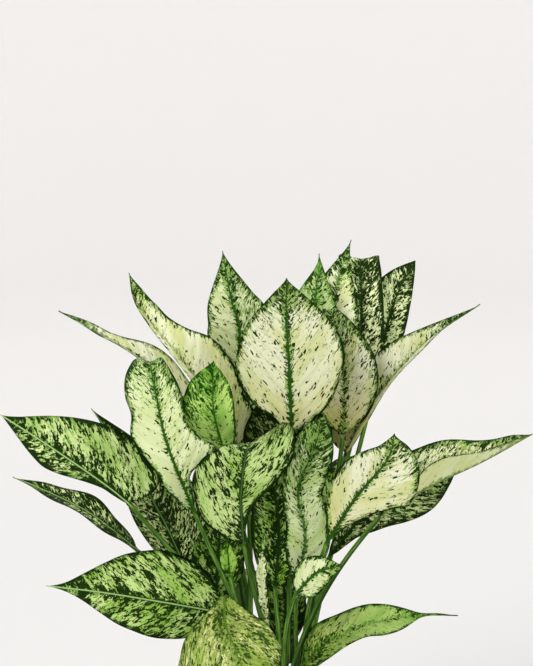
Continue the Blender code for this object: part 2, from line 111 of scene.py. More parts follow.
# The leaves, listed up each cane.
#   mid     points the midrib runs through, from the blade's base to its tip
#   face    the way the upper side looks, at places spread evenly from base to tip
#   width   of the flat blade, with its widest place at the share "belly" of its length
#   shoulder, point   how round the plain outline is at its base, and how drawn out at its tip
#   edges   widths of the left and the right half at even steps from base to tip, in place of all of that
#   side    share of the width on the right half, seen from above with the tip ahead
#   sweep   how far the margins reach back past the base
#   fold    angle that each half is raised at the midrib, and curl, how much more it turns by the margin
#   wave    depth of the ripple at the margin, and waves, how many there are
#   around  compass angle at which the stalk leaves its cane, counted from +X
#   tilt    how far its foot leans from upright, or else rise, how much it is drawn to upright
#   bow     how far it bends between its foot and the blade
#   foot    radius at its foot
LEAVES = {}
LEAVES["front"] = {
    "front_drooping": dict(
        finish="olive", around=-118, tilt=50, bow=0.3,
        mid=[(-44, -74, 269), (-43, -90, 253), (-37, -106, 242), (-20, -134, 207)],
        edges=([12, 21, 26, 29, 31, 33, 33, 27, 14], [9, 16, 26, 37, 44, 49, 44, 30, 14]),
        face=[(0.2, -0.9, 0.6), (0, -0.7, 0.7)]),
    "small_front": dict(
        finish="pale", mid=[(13, -64, 269), (29, -70, 287), (49, -74, 294)], face=[(-0.2, -0.9, 0.4)],
        width=30, fold=10),
    "young_rolled": dict(
        finish="young", around=-150, mid=[(-40, -70, 287), (-41, -70, 301), (-43, -68, 314)],
        face=[(0, -1, 0.1)], width=26, fold=35, curl=45),
    "spear": dict(
        finish="pale", mid=[(-11, -64, 247), (-15, -73, 284), (-12, -74, 324)], face=[(0, -1, 0.1)],
        width=10, fold=20, curl=20),
    "dark_centre": dict(
        finish="dark", around=-62, mid=[(-4, -30, 264), (-1, -28, 309), (-7, -24, 351), (-13, -14, 375)],
        face=[(0, -1, 0.2)], width=46),
    "right_long": dict(
        finish="cream", around=-30, tilt=14, bow=0.35,
        mid=[(81, -46, 328), (115, -29, 344), (162, -24, 365), (202, -18, 386)],
        edges=([22, 30, 33, 32, 29, 24, 18, 12, 7], [16, 26, 31, 33, 31, 26, 18, 11, 6]),
        face=[(0, -0.45, 0.9)], fold=(35, 72)),
    "front_broad": dict(
        finish="lime", around=-130,
        mid=[(-29, -66, 311), (-31, -65, 343), (-29, -61, 367), (-25, -47, 383), (-21, -28, 381),
             (-19, -13, 368)],
        edges=([20, 31, 36, 39, 34, 22, 19, 20, 11], [3, 7, 15, 24, 33, 40, 38, 26, 13]),
        face=[(0, -1, 0.1), (0, -1, 0.1), (-0.1, -1, 0.2), (-0.4, -0.6, 0.8), (-0.3, 0.3, 1)], fold=10),
    "small_bright": dict(
        finish="young", around=175, mid=[(-46, -9, 372), (-53, -27, 409), (-53, -24, 447)],
        edges=([13, 20, 25, 27, 27, 25, 22, 18, 10], [11, 16, 19, 21, 23, 24, 22, 17, 9]),
        face=[(0.1, -1, 0.1)], fold=(6, 50)),
    "centre_tall": dict(
        finish="cream", mid=[(9, -22, 390), (7, -20, 440), (5, -10, 477), (5, 4, 509)],
        edges=([14, 29, 38, 43, 42, 38, 32, 21, 10], [20, 32, 38, 43, 45, 42, 36, 25, 12]),
        face=[(0, -1, 0.1)], fold=8),
}
LEAVES["left"] = {
    "left_low": dict(
        finish="lime", mid=[(-48, -50, 248), (-99, -64, 262), (-141, -76, 273), (-182, -85, 281)],
        edges=([18, 26, 29, 30, 28, 24, 16, 8, 2.5], [25, 35, 39, 40, 37, 32, 23, 13, 4]),
        face=[(0.1, -0.85, 0.5)], fold=8),
    "inner_left": dict(
        finish="dark", around=-60, mid=[(-52, -18, 246), (-50, -18, 288), (-46, -16, 333)],
        face=[(0, -1, 0.2)], width=44),
    "inner_top": dict(
        finish="dark", around=90, mid=[(6, 13, 343), (6, 11, 389), (2, 11, 433)], face=[(0, -1, 0.2)],
        width=74),
    "rear_low_left": dict(
        finish="lime", mid=[(-45, 50, 262), (-72, 95, 280), (-95, 150, 262)],
        face=[(0.1, -0.2, 1), (-0.2, 0.5, 0.8)], width=58),
    "left_dark": dict(
        finish="dark", around=150, mid=[(-76, 4, 264), (-98, 8, 312), (-127, 12, 361), (-154, 14, 400)],
        edges=([14, 20, 23, 24, 22, 17, 11, 5, 1.5], [24, 35, 38, 36, 30, 22, 17, 11, 5]),
        face=[(0.2, -0.8, 0.55)]),
    "left_narrow": dict(
        finish="dark", around=-175,
        mid=[(-115, -44, 299), (-148, -56, 330), (-179, -60, 348), (-209, -62, 362)],
        face=[(0.2, -0.35, 0.9)], width=32, fold=15, point=1.4),
    "left_middle": dict(
        finish="lime", around=-138,
        mid=[(-122, -28, 332), (-141, -32, 349), (-182, -40, 381), (-220, -45, 408)],
        edges=([3, 4, 7, 11, 15, 17, 14, 9.5, 4.5], [30, 36, 41, 41, 38, 32, 24, 15, 6]),
        face=[(0.1, -0.9, 0.4)], fold=8, sweep=(0.1, 0.9)),
    "rear_left": dict(
        finish="pale", mid=[(-50, 55, 335), (-75, 95, 372), (-95, 140, 385)],
        face=[(0.3, -0.7, 0.6), (0.1, -0.2, 1)], width=60),
    "left_pale": dict(
        finish="pale", around=-122,
        mid=[(-69, -44, 331), (-89, -43, 383), (-98, -38, 423), (-103, -23, 444), (-104, -6, 441)],
        edges=([10, 15, 17, 22, 27, 23, 25, 22, 12], [5, 10, 36, 27, 21, 21, 20, 15, 9]),
        face=[(0.1, -1, 0.15), (0.1, -1, 0.15), (0, -1, 0.3), (0, -0.5, 0.9)], fold=18),
    "left_flat": dict(
        finish="cream", mid=[(-71, 21, 394), (-98, 26, 427), (-135, 30, 452), (-181, 31, 478)],
        edges=([10, 12, 12, 11, 9, 8, 7, 5, 3], [16, 22, 24, 23, 20, 15, 10, 7, 4]),
        face=[(0.45, -0.3, 0.85), (0.4, -0.15, 0.9)]),
    "left_folded": dict(
        finish="cream", around=-162,
        mid=[(-35, 11, 370), (-68, 15, 424), (-104, 20, 469), (-117, 23, 488), (-123, 27, 510)],
        edges=([8, 12, 14, 14, 14, 13, 11, 8, 5], [25, 26, 31, 32, 30, 20, 14, 12, 8]),
        face=[(0.1, -1, 0.2)], fold=(70, 8)),
}
LEAVES["right"] = {
    "right_drooping": dict(
        finish="olive",
        mid=[(18, -34, 199), (44, -46, 225), (83, -60, 245), (114, -66, 251), (140, -64, 250)],
        edges=([16, 20, 20, 19.5, 17, 13, 8, 2.5, 1.2], [14, 17, 18, 17, 15, 17, 14, 3, 1.2]),
        face=[(-0.1, -0.55, 0.8)]),
    "rear_right": dict(
        finish="lime", around=85, mid=[(45, 55, 290), (72, 95, 325), (98, 140, 335)],
        face=[(-0.3, -0.6, 0.7), (0, 0, 1)], width=60),
    "right_dark": dict(
        finish="dark", around=-14, mid=[(41, -12, 284), (75, 0, 320), (114, 8, 338), (147, 13, 352)],
        edges=([7, 13, 20, 23, 23, 21, 17, 12, 6], [5, 9, 17, 23, 27, 28, 27, 22, 12]),
        face=[(0, -0.8, 0.6)]),
    "top_right": dict(
        finish="dark", around=52, mid=[(79, 70, 402), (90, 78, 454), (100, 84, 485), (115, 92, 511)],
        face=[(0.2, -0.9, 0.2)], width=42, side=0.75, belly=0.55, point=0.9),
    "right_pale": dict(
        finish="cream", around=-70, tilt=5,
        mid=[(37, -62, 310), (58, -62, 344), (84, -50, 373), (90, -38, 391)],
        edges=([7, 13, 19, 23, 25, 24, 20, 15, 8], [4, 9, 15, 22, 29, 35, 34, 27, 13]),
        face=[(-0.1, -1, 0.25)], fold=10, sweep=(0.1, -0.3)),
    "right_curled": dict(
        finish="pale", around=-112,
        mid=[(14, -44, 273), (20, -46, 308), (14, -46, 346), (26, -40, 378), (36, -28, 404)],
        edges=([12, 17, 17, 15, 14, 15, 17, 18, 13], [14, 20, 22, 22, 21, 21, 20, 17, 10]),
        face=[(0, -1, 0.2)], fold=25, wave=4),
    "right_upper": dict(
        finish="cream", around=40, mid=[(54, 10, 364), (76, 18, 404), (119, 28, 452), (164, 34, 483)],
        face=[(-0.5, -0.55, 0.6)], width=62, fold=(15, 40), belly=0.24, point=1.5, shoulder=0.4),
    "right_cream": dict(
        finish="cream", around=-4,
        mid=[(51, -2, 384), (51, 0, 431), (46, 6, 461), (40, 14, 480), (36, 26, 478)],
        face=[(0.1, -1, 0.2), (0.1, -1, 0.2), (0, -0.6, 0.9), (0, 0.3, 1)], width=56, belly=0.4),
}
LEAVES["back"] = {
    "rear_drooping": dict(
        finish="lime", around=162, mid=[(-14, 62, 222), (-22, 110, 232), (-28, 160, 200)],
        face=[(0, 0, 1), (0, 0.6, 0.8)], width=52),
    "rear_low": dict(
        finish="lime", around=84, mid=[(6, 62, 278), (10, 110, 305), (14, 165, 292)],
        face=[(0, -0.2, 1), (0, 0.4, 0.9)], width=62),
    "rear_middle": dict(
        finish="pale", around=116, mid=[(0, 62, 352), (2, 100, 396), (4, 150, 412)],
        face=[(0, -0.8, 0.6), (0, -0.2, 1)], width=66),
    "inner_low": dict(
        finish="dark", around=-60, mid=[(5, 1, 204), (4, -1, 244), (0, -3, 284)], face=[(0, -1, 0.2)],
        width=36),
    "rear_high_right": dict(
        finish="cream", around=58, mid=[(42, 72, 380), (56, 105, 424), (64, 145, 448)],
        face=[(-0.2, -0.8, 0.5), (0, -0.4, 0.9)], width=52),
    "rear_high_left": dict(
        finish="pale", around=144, mid=[(-26, 58, 392), (-34, 85, 440), (-38, 120, 470)],
        face=[(0.2, -0.9, 0.4), (0, -0.4, 0.9)], width=52),
    "top_dark": dict(
        finish="dark", around=-10,
        mid=[(67, 50, 399), (68, 60, 457), (68, 68, 494), (68, 76, 514), (73, 92, 505)],
        edges=([10, 16, 20, 21, 21, 21, 21, 20, 16], [10, 15, 18, 19, 19, 19, 18, 17, 14]),
        face=[(0.1, -1, 0.1), (0.1, -1, 0.1), (0, -0.6, 0.9), (0, 0.3, 1)]),
    "top_back": dict(
        finish="cream", around=30, mid=[(37, 42, 414), (42, 46, 459), (48, 50, 499), (59, 58, 533)],
        face=[(-0.1, -1, 0)], width=46, point=1.5),
    "top_young": dict(
        finish="young", around=-45, mid=[(26, 28, 428), (28, 30, 481), (32, 36, 512), (32, 40, 524)],
        face=[(0, -1, 0)], width=42, point=1.6),
    "top_left": dict(
        finish="pale", mid=[(-34, 23, 412), (-33, 28, 463), (-40, 32, 488), (-47, 41, 526)],
        face=[(0, -1, 0)], width=54, point=1.35),
}

# What a leaf has where its entry says nothing.
ORDINARY = dict(edges=None, belly=0.42, shoulder=0.55, point=1.15, side=1.0, sweep=0.12, fold=12, curl=0,
                wave=1.5, waves=2.3, around=None, tilt=0, rise=0.8, bow=0.33, foot=2.6)
# (lifted on leaves that lie in the plant's shade, dimmed on the inner leaves within it)
# How a leaf differs from others of its finish.
#   flecks   more or fewer dark flecks, and tip, base, side: more toward the tip, the base or the right half
#   tan      warm brownish shading near the base
#   tone     brighter or dimmer all over: partly its own tint, partly painted light and shade
#   cream    share of cream in its palest tissue
#   rib      strength of the dark midrib
#   pale_rib share of a fine pale line along the midrib
#   like     another finish that it has come to look like
LOOKS = {
    "front_broad": dict(pale_rib=0.15, cream=0.15, tip=0.3, flecks=-0.2, tone=-0.14),
    "left_low": dict(pale_rib=1.0, flecks=0.08, cream=0.05),
    "left_middle": dict(pale_rib=1.0, cream=0.25, tone=0.12),
    "left_narrow": dict(pale_rib=0.7, flecks=0.25, cream=0.35, tone=0.15),
    "left_dark": dict(pale_rib=0.4, flecks=0.15, cream=0.3, tone=0.3),
    "left_pale": dict(cream=0.5, tip=0.6, side=0.2, tone=0.08),
    "small_bright": dict(tip=0.5, side=-0.3, flecks=-0.05, cream=0.12, tone=0.08),
    "centre_tall": dict(tan=0.3, tip=0.35, flecks=0.15, tone=-0.04, cream=0.2),
    "left_folded": dict(tan=0.3, rib=0.25, tip=-0.5, side=0.2, tone=0.28),
    "right_cream": dict(tan=0.7, tone=-0.12, rib=0.15, tip=0.8, flecks=0.4),
    "right_upper": dict(tan=0.7, rib=0.4, tone=0.05, flecks=0.2, tip=-0.2),
    "right_pale": dict(tan=0.5, tip=0.2),
    "right_long": dict(tan=0.3, tone=0.2, flecks=0.3, side=-0.7, cream=0.3),
    "left_flat": dict(tan=0.2, tip=-0.3, rib=0.5, tone=0.15),
    "right_curled": dict(tip=0.9, rib=0.7, cream=0.1, flecks=0.15, tone=-0.1),
    "top_left": dict(cream=0.6, flecks=0.5, side=0.3, tone=0.05),
    "top_back": dict(flecks=0.3, tone=0.36, rib=0.5, cream=0.3),
    "top_young": dict(flecks=0.2, cream=0.5, tone=0.1),
    "top_dark": dict(tip=0.4, base=-0.9, flecks=-0.15, cream=0.7, tone=0.4),
    "top_right": dict(tip=0.2, base=-0.7, flecks=-0.3, cream=0.6, tone=0.3),
    "inner_left": dict(like="lime", flecks=0.4, tone=-0.2),
    "inner_low": dict(like="lime", flecks=0.4, tone=-0.3),
    "inner_top": dict(flecks=0.5, tone=-0.3),
    "right_drooping": dict(like="young", flecks=-0.2, cream=0.15, tone=-0.17, base=1.0, tan=0.5, rib=0.3),
    "front_drooping": dict(flecks=0.1, tan=0.3, tone=0.02),
    "right_dark": dict(flecks=0.1, cream=0.3, tone=0.2),
    "dark_centre": dict(like="lime", flecks=0.2, tone=0.15),
    "small_front": dict(tip=0.4, flecks=0.05, cream=0.5, tone=0.05),
    "spear": dict(cream=0.7, flecks=-1.2, rib=0.15, tone=0.02),
}
PLAIN = dict(flecks=0, tip=0, base=0, side=0, tan=0, tone=0, cream=0, rib=1, pale_rib=0, like=None)
# The looks that a leaf's material reads, three to an attribute.
TOLD_LOOKS = {
    "mood": ("flecks", "tan", "tone"),
    "habit": ("pale_rib", "rib", "cream"),
    "lean": ("tip", "side", "base"),
}


# ---- Curves of a leaf ----------------------------------------------------------------------------

def unit(v):
    v = np.asarray(v, float)
    return v / max(np.linalg.norm(v), 1e-12)


def mix(a, b, t):
    return a + (b - a) * t


def pair(value):
    """A leaf's value for its left and its right half."""
    return value if isinstance(value, tuple) else (value, value)


def smooth(a, b, c, d, u):
    """A point on the smooth curve through four, at share u of the way from b to c."""
    bend, twist = 2 * a - 5 * b + 4 * c - d, 3 * b - a - 3 * c + d
    return 0.5 * (2 * b + (c - a) * u + bend * u ** 2 + twist * u ** 3)


def between(rows, t):
    """The row at share t of evenly spread rows, on a smooth curve through them."""
    p = np.array(rows, float)
    last = len(p) - 1
    if last == 0:
        return p[0]
    k = min(int(t * last), last - 1)
    return smooth(p[max(k - 1, 0)], p[k], p[k + 1], p[min(k + 2, last)], t * last - k)


class Run:
    """A smooth curve through a few points, read by its share of length from 0 to 1."""

    def __init__(self, points, steps=40):
        p = np.array(points, float)
        ends = np.vstack([2 * p[0] - p[1], p, 2 * p[-1] - p[-2]])
        shares = np.linspace(0, 1, steps, endpoint=False)
        found = [smooth(*four, u) for four in zip(ends, ends[1:], ends[2:], ends[3:]) for u in shares]
        self.points = np.array(found + [p[-1]])
        gaps = np.linalg.norm(np.diff(self.points, axis=0), axis=1)
        self.length = gaps.sum()
        self.share = np.concatenate([[0], np.cumsum(gaps)]) / self.length

    def at(self, t):
        return np.array([np.interp(t, self.share, column) for column in self.points.T])

    def heading(self, t, reach=0.03):
        return unit(self.at(min(t + reach, 1)) - self.at(max(t - reach, 0)))


class Bow:
    """A stalk's curve: it leaves the foot one way and arrives at the blade another."""

    def __init__(self, start, end, leave, arrive, reach):
        self.points = start, start + leave * reach, end - arrive * reach, end
        self.length = np.linalg.norm(end - start)

    def at(self, u):
        p, a, b, q = self.points
        return (1 - u) ** 3 * p + 3 * u * (1 - u) ** 2 * a + 3 * u * u * (1 - u) * b + u ** 3 * q

    def heading(self, u):
        p, a, b, q = self.points
        return unit((1 - u) ** 2 * (a - p) + 2 * u * (1 - u) * (b - a) + u * u * (q - b))


def cane_axis(cane, height):
    """Middle of a cane at a height in millimetres above the soil; below the soil it stands upright."""
    c = CANES[cane]
    share = max(height, 0) / c["height"]
    x, y = (foot + lean * share for foot, lean in zip(c["foot"], c["lean"]))
    return np.array([x * MM, y * MM, SOIL_TOP + height * MM])


def cane_radius(cane, height):
    return mix(CANE_FOOT_RADIUS, CANE_TIP_RADIUS, height / CANES[cane]["height"])


def leaf_curves(cane, name, g):
    """The stalk's and the midrib's curves. A cane's leaves are spread evenly up it."""
    step = (CANES[cane]["height"] - LOWEST_LEAF - TOP_LEAF_BELOW_TIP) / (len(LEAVES[cane]) - 1)
    height = LOWEST_LEAF + step * list(LEAVES[cane]).index(name)
    rib = Run(np.array(g["mid"], float) * MM)
    axis = cane_axis(cane, height)
    base = rib.at(0)
    toward = base - axis
    angle = atan2(toward[1], toward[0]) if g["around"] is None else radians(g["around"])
    out = np.array([cos(angle), sin(angle), 0])
    up = np.array([0, 0, 1])
    tilt = radians(g["tilt"])
    start = axis + out * (cane_radius(cane, height) + g["foot"] * MM * cos(tilt) + GAP)
    straight = unit(base - start)
    leave = sin(tilt) * out + cos(tilt) * up if tilt else unit(straight + g["rise"] * up)
    arrive = unit(straight + 0.8 * rib.heading(0))
    return Bow(start, base, leave, arrive, g["bow"] * np.linalg.norm(base - start)), rib


# ---- Leaves --------------------------------------------------------------------------------------

def outline(t, g):
    """Share of the half width at share t of the blade: round at the base, drawn out to the tip."""
    belly = g["belly"]
    if t < belly:
        return sin(pi / 2 * t / belly) ** g["shoulder"]
    return cos(pi / 2 * (t - belly) / (1 - belly)) ** g["point"]


def half_width(g, hand, t):
    """Width in millimetres of the left or the right half at share t, measured on the flat blade."""
    least = STALK_TOP_RADIUS if t == 0 else TIP_HALF_WIDTH
    if g["edges"]:
        wide = float(between((0, *g["edges"][hand], 0), t))
        if t < 0.1:
            wide = g["edges"][hand][0] * sqrt(t / 0.1)
        return max(wide, least)
    share = g["side"] if hand else 2 - g["side"]
    return max(g["width"] / 2 * outline(t, g) * share, least)


def section(share, half, fold, curl):
    """Across and up of the points at shares of the way from the midrib to the margin."""
    if abs(curl) < 1e-3:
        return half * share * cos(fold), half * share * sin(fold)
    return (half * (np.sin(fold + curl * share) - sin(fold)) / curl,
            half * (cos(fold) - np.cos(fold + curl * share)) / curl)


def square_to(way, g, t):
    """The blade's right-hand and upper directions at share t."""
    face = between(g["face"], t)
    up = unit(face - np.dot(face, way) * way)
    return np.cross(way, up), up


SHARES = np.linspace(-1, 1, 2 * HALF_POINTS + 1)
SHARES = np.sign(SHARES) * np.abs(SHARES) ** CROWDING


def columns(*parts):
    """Three columns side by side, where a single number fills its whole column."""
    return np.stack(np.broadcast_arrays(*parts), 1).astype(float)


def stalk_row(stalk, g, u):
    """A round ring of the stalk, hollowed a little on its upper side, and what its points tell the finish."""
    centre, way = stalk.at(u), stalk.heading(u)
    right, up = square_to(way, g, 0)
    radius = mix(g["foot"], STALK_TOP_RADIUS, u ** 0.6)
    half_turn = np.linspace(pi, 0, len(SHARES))
    angles = np.concatenate([half_turn, -half_turn[::-1][1:-1]])
    hollow = 1 - STALK_HOLLOW * np.exp(-((angles - pi / 2) / 0.5) ** 2)
    points = centre + radius * MM * (np.outer(np.cos(angles), right) + np.outer(hollow * np.sin(angles), up))
    along = -(1 - u) * stalk.length / MM
    return (points, columns(along, radius * angles, 0), columns(np.abs(radius * np.cos(angles)), 20, 1),
            columns(u - 1, 0, np.sin(angles) > -0.1))


def blade_row(rib, g, t):
    """A ring round the blade: upper points from the left margin to the right one, then lower ones back."""
    centre, way = rib.at(t), rib.heading(t)
    right, up = square_to(way, g, t)
    length = rib.length / MM
    ridge_radius = mix(*RIB_RADIUS, t ** 0.8)
    upper, lower, tells = [], [], []
    for hand, side, shares in ((0, -1, np.abs(SHARES[:HALF_POINTS])), (1, 1, SHARES[HALF_POINTS:])):
        wide = half_width(g, hand, t)
        fold, curl = radians(pair(g["fold"])[hand]), radians(pair(g["curl"])[hand])
        across, rise = section(shares, wide, fold, curl)
        ripple = sin(2 * pi * g["waves"] * t + 1.7 * hand)
        rise = rise + g["wave"] * shares ** 2 * ripple * min(1, 4 * t, 3 * (1 - t))
        back = pair(g["sweep"])[hand] * across * (1 - t) ** 2
        reach = shares * wide
        vein = t * length - back - reach * (VEIN_LEAN + VEIN_BEND * reach)
        swell = np.cos(2 * pi * vein / VEIN_SPACING) * np.sin(pi * np.clip(shares, 0, 1)) ** 0.7
        swell = QUILTING * swell * min(1, wide / QUILTED_WIDTH)
        thin = LAMINA / 2 * (1 - MARGIN_THINNING * shares ** 6)
        groove = GROOVE_DEPTH * (1 - t) ** 0.6 * np.exp(-(reach / GROOVE_WIDTH) ** 2)
        ridge = np.sqrt(np.clip(ridge_radius ** 2 - reach ** 2, 0, None))
        slope = (fold + curl * shares) * np.clip(reach / GROOVE_WIDTH, 0, 1)
        over = np.outer(np.cos(slope), up) - side * np.outer(np.sin(slope), right)
        spot = centre + MM * (side * np.outer(across, right) + np.outer(rise, up) - np.outer(back, way))
        upper.append(spot + MM * (swell + thin - groove)[:, None] * over)
        lower.append(spot + MM * (swell - thin - ridge)[:, None] * over)
        tells.append(np.stack([vein, side * reach, reach, wide - reach, shares], 1))
    upper, lower, tells = np.vstack(upper), np.vstack(lower)[1:-1][::-1], np.vstack(tells)
    vein, across, reach, edge, shares = np.vstack([tells, tells[1:-1][::-1]]).T
    on_top = np.arange(len(vein)) < len(upper)
    return (np.vstack([upper, lower]), columns(vein, across, 0), columns(reach, edge, 0),
            columns(t, shares, on_top))


def tell(mesh, name, rows):
    """Stores a vector for each point of a mesh, for its material to read; a single one serves every point."""
    layer = mesh.attributes.new(name, "FLOAT_VECTOR", "POINT")
    rows = np.broadcast_to(np.asarray(rows, np.float32), (len(mesh.vertices), 3))
    layer.data.foreach_set("vector", rows.ravel())


def place(name, data):
    """An object in the scene."""
    made = bpy.data.objects.new(name, data)
    bpy.context.scene.collection.objects.link(made)
    return made


def new_piece(name, mesh, slot, *nodes):
    """A visible piece on the only body, in place of the CAD nodes that it stands for."""
    piece = place(name, mesh)
    mesh.shade_smooth()
    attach(piece, "root")
    if nodes:
        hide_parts(*nodes)


def make_leaf(cane, name, number, finishes):
    g = {**ORDINARY, **LEAVES[cane][name]}
    look = {**PLAIN, **LOOKS.get(name, {})}
    stalk, rib = leaf_curves(cane, name, g)
    rows = [stalk_row(stalk, g, u) for u in np.linspace(0, 1, STALK_ROWS, endpoint=False)]
    rows += [blade_row(rib, g, t) for t in np.linspace(0, 1, BLADE_ROWS) ** BASE_CROWDING]
    points, veins, reach, spots = (np.vstack(part) for part in zip(*rows))
    ring = len(rows[0][0])
    around = np.arange(ring)
    ahead = (around + 1) % ring
    last = (len(rows) - 1) * ring
    starts = np.arange(0, last, ring)[:, None]
    corners = starts + around, starts + ahead, starts + ahead + ring, starts + around + ring
    faces = np.stack(corners, -1).reshape(-1, 4).tolist() + [around[::-1].tolist(), (last + around).tolist()]
    mesh = bpy.data.meshes.new(f"leaf_{name}_grown")
    mesh.from_pydata(points.tolist(), [], faces)
    veins[:, 2] = FLECKS_APART * number
    tell(mesh, "vein", veins)
    tell(mesh, "reach", reach)
    tell(mesh, "place", spots)
    for layer, keys in TOLD_LOOKS.items():
        tell(mesh, layer, [look[key] for key in keys])
    mesh.materials.append(finishes[look["like"] or g["finish"]])
    new_piece(mesh.name, mesh, "leaf_" + g["finish"], "leaf_" + name)


# ---- Node trees ----------------------------------------------------------------------------------

def paint(red, green, blue):
    """A colour given as on a paint chart, from 0 to 255, made linear."""
    parts = [v / 255 for v in (red, green, blue)]
    return (*[p / 12.92 if p < 0.04045 else ((p + 0.055) / 1.055) ** 2.4 for p in parts], 1)


def add(tree, kind, inputs=(), **settings):
    """A node with its settings made and its inputs joined or filled in."""
    made = tree.nodes.new(kind)
    for key, value in settings.items():
        setattr(made, key, value)
    for key, value in dict(inputs).items():
        if isinstance(value, Value):
            tree.links.new(value.socket, made.inputs[key])
        else:
            made.inputs[key].default_value = value
    return made


class Value:
    """A number, vector or colour that a tree's nodes work out, so that sums of nodes are written as sums."""

    def __init__(self, tree, socket):
        self.tree = tree
        self.socket = socket

    def math(self, operation, *others):
        return node(self.tree, "ShaderNodeMath", dict(enumerate((self, *others))), operation=operation)

    def __add__(self, other):
        return self.math("ADD", other)

    def __sub__(self, other):
        return self.math("SUBTRACT", other)

    def __rsub__(self, other):
        return node(self.tree, "ShaderNodeMath", {0: other, 1: self}, operation="SUBTRACT")

    def __mul__(self, other):
        return self.math("MULTIPLY", other)

    def __abs__(self):
        return self.math("ABSOLUTE")

    def step(self, low, high, start=0.0, end=1.0):
        """A smooth step of the value, from start at low to end at high."""
        inputs = {"Value": self, "From Min": low, "From Max": high, "To Min": start, "To Max": end}
        return node(self.tree, "ShaderNodeMapRange", inputs, "Result", interpolation_type="SMOOTHSTEP")

    def vector(self, operation, other=(0, 0, 0), output=0):
        return node(self.tree, "ShaderNodeVectorMath", {0: self, 1: other}, output, operation=operation)

    def split(self):
        parts = add(self.tree, "ShaderNodeSeparateXYZ", {0: self})
        return [Value(self.tree, part) for part in parts.outputs]

    def stretch(self, by, shift=(0, 0, 0)):
        """The vector scaled on each axis, then shifted."""
        return node(self.tree, "ShaderNodeMapping", {"Vector": self, "Scale": by, "Location": shift})

    def noise(self, scale=1.0, detail=2.0, roughness=0.5, output="Fac"):
        inputs = {"Vector": self, "Scale": scale, "Detail": detail, "Roughness": roughness}
        return node(self.tree, "ShaderNodeTexNoise", inputs, output)

    def cells(self, scale=1.0):
        """How far the nearest of some scattered points is, and a number from 0 to 1 that it drew."""
        made = add(self.tree, "ShaderNodeTexVoronoi", {"Vector": self, "Scale": scale})
        drawn = Value(self.tree, made.outputs["Color"]).split()[0]
        return Value(self.tree, made.outputs["Distance"]), drawn

    def bump(self, strength, distance, **over):
        """The surface's normal with this height worked into it, over an earlier Normal where one is given."""
        inputs = {"Height": self, "Strength": strength, "Distance": distance, **over}
        return node(self.tree, "ShaderNodeBump", inputs)

    def through(self, kind, inputs=(), output=0, **settings):
        """A geometry after one more geometry node, which takes it as its first input."""
        return node(self.tree, "GeometryNode" + kind, {0: self, **dict(inputs)}, output, **settings)

    def to(self, end):
        self.tree.links.new(self.socket, end)


def node(tree, kind, inputs=(), output=0, **settings):
    """What a new node gives at one of its outputs."""
    return Value(tree, add(tree, kind, inputs, **settings).outputs[output])


def blend(share, a, b, mode="MIX"):
    """The share of b over a."""
    tree = next(part.tree for part in (share, a, b) if isinstance(part, Value))
    return node(tree, "ShaderNodeMix", {0: share, 6: a, 7: b}, 2, data_type="RGBA", blend_type=mode)


def dimmed(colour, by):
    """A colour times a number."""
    grey = node(colour.tree, "ShaderNodeCombineXYZ", {0: by, 1: by, 2: by})
    return blend(1.0, colour, grey, "MULTIPLY")


def attribute(tree, name, output="Vector"):
    return node(tree, "ShaderNodeAttribute", output=output, attribute_name=name)


FLOAT, VECTOR = "NodeSocketFloat", "NodeSocketVector"
INTEGER, MATERIAL, GEOMETRY = "NodeSocketInt", "NodeSocketMaterial", "NodeSocketGeometry"


def new_group(name, kind, ins, outs):
    """An empty node group, what its inputs give, and its outputs, by name."""
    group = bpy.data.node_groups.new(name, kind)
    for way, sockets in ("INPUT", ins), ("OUTPUT", outs):
        for key, socket_kind in sockets.items():
            group.interface.new_socket(key, in_out=way, socket_type=socket_kind)
    given = group.nodes.new("NodeGroupInput").outputs
    return group, {key: Value(group, given[key]) for key in ins}, group.nodes.new("NodeGroupOutput").inputs


def use(tree, group, inputs):
    """A group placed in a material with its own values; its outputs by name."""
    made = add(tree, "ShaderNodeGroup", inputs, node_tree=group)
    return {socket.name: Value(tree, socket) for socket in made.outputs}


# The vectors told to a leaf's points that its flecks read, and the numbers of a finish that place its flecks.
TOLD = ("Vein", "Reach", "Place", "Mood", "Lean")
MARKS = ("Cover", "Islands", "Specks", "Rib Crowding", "Rib Reach", "Edge Crowding", "Edge Reach",
         "Tip Crowding", "Rib Width", "Feathering", "Edge Line", "Middle Cover", "Most Cover")


